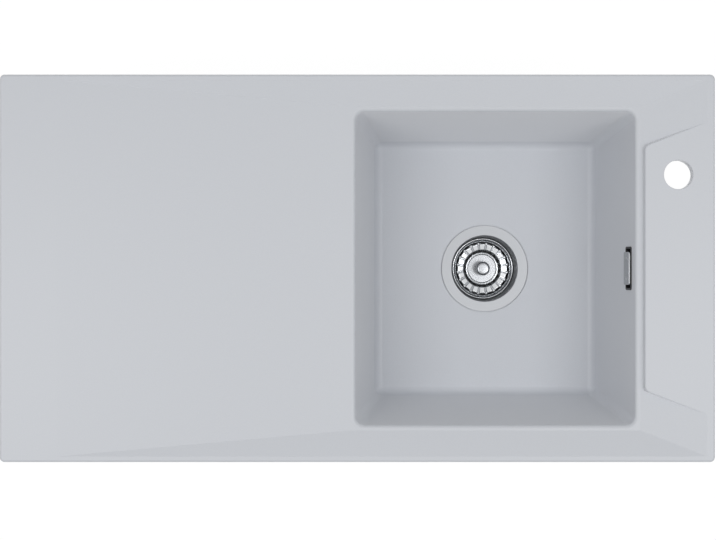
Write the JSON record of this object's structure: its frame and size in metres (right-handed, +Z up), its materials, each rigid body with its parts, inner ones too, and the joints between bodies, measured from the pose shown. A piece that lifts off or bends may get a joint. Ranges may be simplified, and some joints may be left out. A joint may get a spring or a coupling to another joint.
{
  "type": "inset kitchen sink with drainboard",
  "caption": "Inset kitchen sink with a square bowl, sloping drainboard, basket strainer, overflow with hose and waste body, tap hole on a raised platform, and fixing clips under the rim.",
  "frame": {"origin": "middle of the outline, on the worktop plane, which is the underside of the rim", "axes": "+X along the sink to the tap side, +Y to the back, +Z up"},
  "size_m": [0.86, 0.466, 0.3262],
  "materials": {
    "composite": "stone and acrylic composite, pale silver grey, semi-matt, moulded",
    "seal_foam": "closed-cell foam strip, black",
    "strainer_steel": "pressed stainless steel, polished",
    "basket_steel": "pressed stainless steel, bright",
    "rubber": "moulded rubber, black",
    "stem_steel": "turned stainless steel",
    "knob_steel": "turned and polished",
    "screw_steel": "turned stainless steel",
    "brass": "turned brass insert",
    "waste_plastic": "injection-moulded polypropylene, white",
    "frame_plastic": "injection-moulded, black",
    "hose_plastic": "corrugated polypropylene hose, white",
    "insert_plastic": "injection-moulded nylon, dark grey",
    "zinc_steel": "zinc-plated steel"
  },
  "bodies": {
    "sink": {"sink_body": "composite", "rim_seal": "seal_foam", "strainer_flange": "strainer_steel", "flange_gasket": "rubber", "clamp_screw": "screw_steel", "brass_insert": "brass", "waste_gasket": "rubber", "waste_body": "waste_plastic", "overflow_cover": "strainer_steel", "overflow_screws": "screw_steel", "overflow_frame": "frame_plastic", "overflow_seal": "rubber", "overflow_housing": "waste_plastic", "hose_nut_top": "waste_plastic", "hose_seal_top": "rubber", "overflow_hose": "hose_plastic", "hose_seal_bottom": "rubber", "hose_nut_bottom": "waste_plastic", "clip_plugs": "insert_plastic", "clip_studs": "zinc_steel"},
    "basket": {"basket": "basket_steel", "basket_seal": "rubber", "basket_stem": "stem_steel", "basket_knob": "knob_steel"},
    "clip_front_left_washer": {"clip_front_left_washer": "zinc_steel"},
    "clip_front_left_claw": {"clip_front_left_claw": "zinc_steel"},
    "clip_front_left_nut": {"clip_front_left_nut": "zinc_steel"},
    "clip_front_middle_washer": {"clip_front_middle_washer": "zinc_steel"},
    "clip_front_middle_claw": {"clip_front_middle_claw": "zinc_steel"},
    "clip_front_middle_nut": {"clip_front_middle_nut": "zinc_steel"},
    "clip_front_right_washer": {"clip_front_right_washer": "zinc_steel"},
    "clip_front_right_claw": {"clip_front_right_claw": "zinc_steel"},
    "clip_front_right_nut": {"clip_front_right_nut": "zinc_steel"},
    "clip_back_left_washer": {"clip_back_left_washer": "zinc_steel"},
    "clip_back_left_claw": {"clip_back_left_claw": "zinc_steel"},
    "clip_back_left_nut": {"clip_back_left_nut": "zinc_steel"},
    "clip_back_middle_washer": {"clip_back_middle_washer": "zinc_steel"},
    "clip_back_middle_claw": {"clip_back_middle_claw": "zinc_steel"},
    "clip_back_middle_nut": {"clip_back_middle_nut": "zinc_steel"},
    "clip_back_right_washer": {"clip_back_right_washer": "zinc_steel"},
    "clip_back_right_claw": {"clip_back_right_claw": "zinc_steel"},
    "clip_back_right_nut": {"clip_back_right_nut": "zinc_steel"},
    "clip_left_washer": {"clip_left_washer": "zinc_steel"},
    "clip_left_claw": {"clip_left_claw": "zinc_steel"},
    "clip_left_nut": {"clip_left_nut": "zinc_steel"},
    "clip_right_washer": {"clip_right_washer": "zinc_steel"},
    "clip_right_claw": {"clip_right_claw": "zinc_steel"},
    "clip_right_nut": {"clip_right_nut": "zinc_steel"}
  },
  "joints": [
    {"name": "basket_lift", "type": "slide", "parent": "sink", "child": "basket", "axis": [0, 0, 1], "range_m": [0, 0.262]},
    {"name": "clip_front_left_travel", "type": "slide", "parent": "sink", "child": "clip_front_left_washer", "axis": [0, 0, 1], "range_m": [-0.036, 0]},
    {"name": "clip_front_left_swing", "type": "hinge", "parent": "clip_front_left_washer", "child": "clip_front_left_claw", "pos_m": [-0.33, -0.209, -0.0175], "axis": [0, 0, -1], "range_deg": [0, 90]},
    {"name": "clip_front_left_spin", "type": "hinge", "parent": "clip_front_left_washer", "child": "clip_front_left_nut", "pos_m": [-0.33, -0.209, -0.0175], "axis": [0, 0, 1], "range_deg": [-12965, 0]},
    {"name": "clip_front_middle_travel", "type": "slide", "parent": "sink", "child": "clip_front_middle_washer", "axis": [0, 0, 1], "range_m": [-0.036, 0]},
    {"name": "clip_front_middle_swing", "type": "hinge", "parent": "clip_front_middle_washer", "child": "clip_front_middle_claw", "pos_m": [-0.06, -0.209, -0.0175], "axis": [0, 0, -1], "range_deg": [0, 90]},
    {"name": "clip_front_middle_spin", "type": "hinge", "parent": "clip_front_middle_washer", "child": "clip_front_middle_nut", "pos_m": [-0.06, -0.209, -0.0175], "axis": [0, 0, 1], "range_deg": [-12965, 0]},
    {"name": "clip_front_right_travel", "type": "slide", "parent": "sink", "child": "clip_front_right_washer", "axis": [0, 0, 1], "range_m": [-0.036, 0]},
    {"name": "clip_front_right_swing", "type": "hinge", "parent": "clip_front_right_washer", "child": "clip_front_right_claw", "pos_m": [0.3715, -0.209, -0.0175], "axis": [0, 0, -1], "range_deg": [0, 90]},
    {"name": "clip_front_right_spin", "type": "hinge", "parent": "clip_front_right_washer", "child": "clip_front_right_nut", "pos_m": [0.3715, -0.209, -0.0175], "axis": [0, 0, 1], "range_deg": [-12965, 0]},
    {"name": "clip_back_left_travel", "type": "slide", "parent": "sink", "child": "clip_back_left_washer", "axis": [0, 0, 1], "range_m": [-0.036, 0]},
    {"name": "clip_back_left_swing", "type": "hinge", "parent": "clip_back_left_washer", "child": "clip_back_left_claw", "pos_m": [-0.33, 0.209, -0.0175], "axis": [0, 0, 1], "range_deg": [0, 90]},
    {"name": "clip_back_left_spin", "type": "hinge", "parent": "clip_back_left_washer", "child": "clip_back_left_nut", "pos_m": [-0.33, 0.209, -0.0175], "axis": [0, 0, 1], "range_deg": [-12965, 0]},
    {"name": "clip_back_middle_travel", "type": "slide", "parent": "sink", "child": "clip_back_middle_washer", "axis": [0, 0, 1], "range_m": [-0.036, 0]},
    {"name": "clip_back_middle_swing", "type": "hinge", "parent": "clip_back_middle_washer", "child": "clip_back_middle_claw", "pos_m": [-0.06, 0.209, -0.0175], "axis": [0, 0, 1], "range_deg": [0, 90]},
    {"name": "clip_back_middle_spin", "type": "hinge", "parent": "clip_back_middle_washer", "child": "clip_back_middle_nut", "pos_m": [-0.06, 0.209, -0.0175], "axis": [0, 0, 1], "range_deg": [-12965, 0]},
    {"name": "clip_back_right_travel", "type": "slide", "parent": "sink", "child": "clip_back_right_washer", "axis": [0, 0, 1], "range_m": [-0.036, 0]},
    {"name": "clip_back_right_swing", "type": "hinge", "parent": "clip_back_right_washer", "child": "clip_back_right_claw", "pos_m": [0.3715, 0.209, -0.0175], "axis": [0, 0, 1], "range_deg": [0, 90]},
    {"name": "clip_back_right_spin", "type": "hinge", "parent": "clip_back_right_washer", "child": "clip_back_right_nut", "pos_m": [0.3715, 0.209, -0.0175], "axis": [0, 0, 1], "range_deg": [-12965, 0]},
    {"name": "clip_left_travel", "type": "slide", "parent": "sink", "child": "clip_left_washer", "axis": [0, 0, 1], "range_m": [-0.036, 0]},
    {"name": "clip_left_swing", "type": "hinge", "parent": "clip_left_washer", "child": "clip_left_claw", "pos_m": [-0.406, 0, -0.0175], "axis": [0, 0, 1], "range_deg": [0, 90]},
    {"name": "clip_left_spin", "type": "hinge", "parent": "clip_left_washer", "child": "clip_left_nut", "pos_m": [-0.406, 0, -0.0175], "axis": [0, 0, 1], "range_deg": [-12965, 0]},
    {"name": "clip_right_travel", "type": "slide", "parent": "sink", "child": "clip_right_washer", "axis": [0, 0, 1], "range_m": [-0.036, 0]},
    {"name": "clip_right_swing", "type": "hinge", "parent": "clip_right_washer", "child": "clip_right_claw", "pos_m": [0.406, -0.08, -0.0175], "axis": [0, 0, 1], "range_deg": [0, 90]},
    {"name": "clip_right_spin", "type": "hinge", "parent": "clip_right_washer", "child": "clip_right_nut", "pos_m": [0.406, -0.08, -0.0175], "axis": [0, 0, 1], "range_deg": [-12965, 0]}
  ],
  "couplings": [
    {"joint": "clip_front_left_spin", "follows": "clip_front_left_travel", "rad_per_m": 6283.2},
    {"joint": "clip_front_middle_spin", "follows": "clip_front_middle_travel", "rad_per_m": 6283.2},
    {"joint": "clip_front_right_spin", "follows": "clip_front_right_travel", "rad_per_m": 6283.2},
    {"joint": "clip_back_left_spin", "follows": "clip_back_left_travel", "rad_per_m": 6283.2},
    {"joint": "clip_back_middle_spin", "follows": "clip_back_middle_travel", "rad_per_m": 6283.2},
    {"joint": "clip_back_right_spin", "follows": "clip_back_right_travel", "rad_per_m": 6283.2},
    {"joint": "clip_left_spin", "follows": "clip_left_travel", "rad_per_m": 6283.2},
    {"joint": "clip_right_spin", "follows": "clip_right_travel", "rad_per_m": 6283.2}
  ]
}
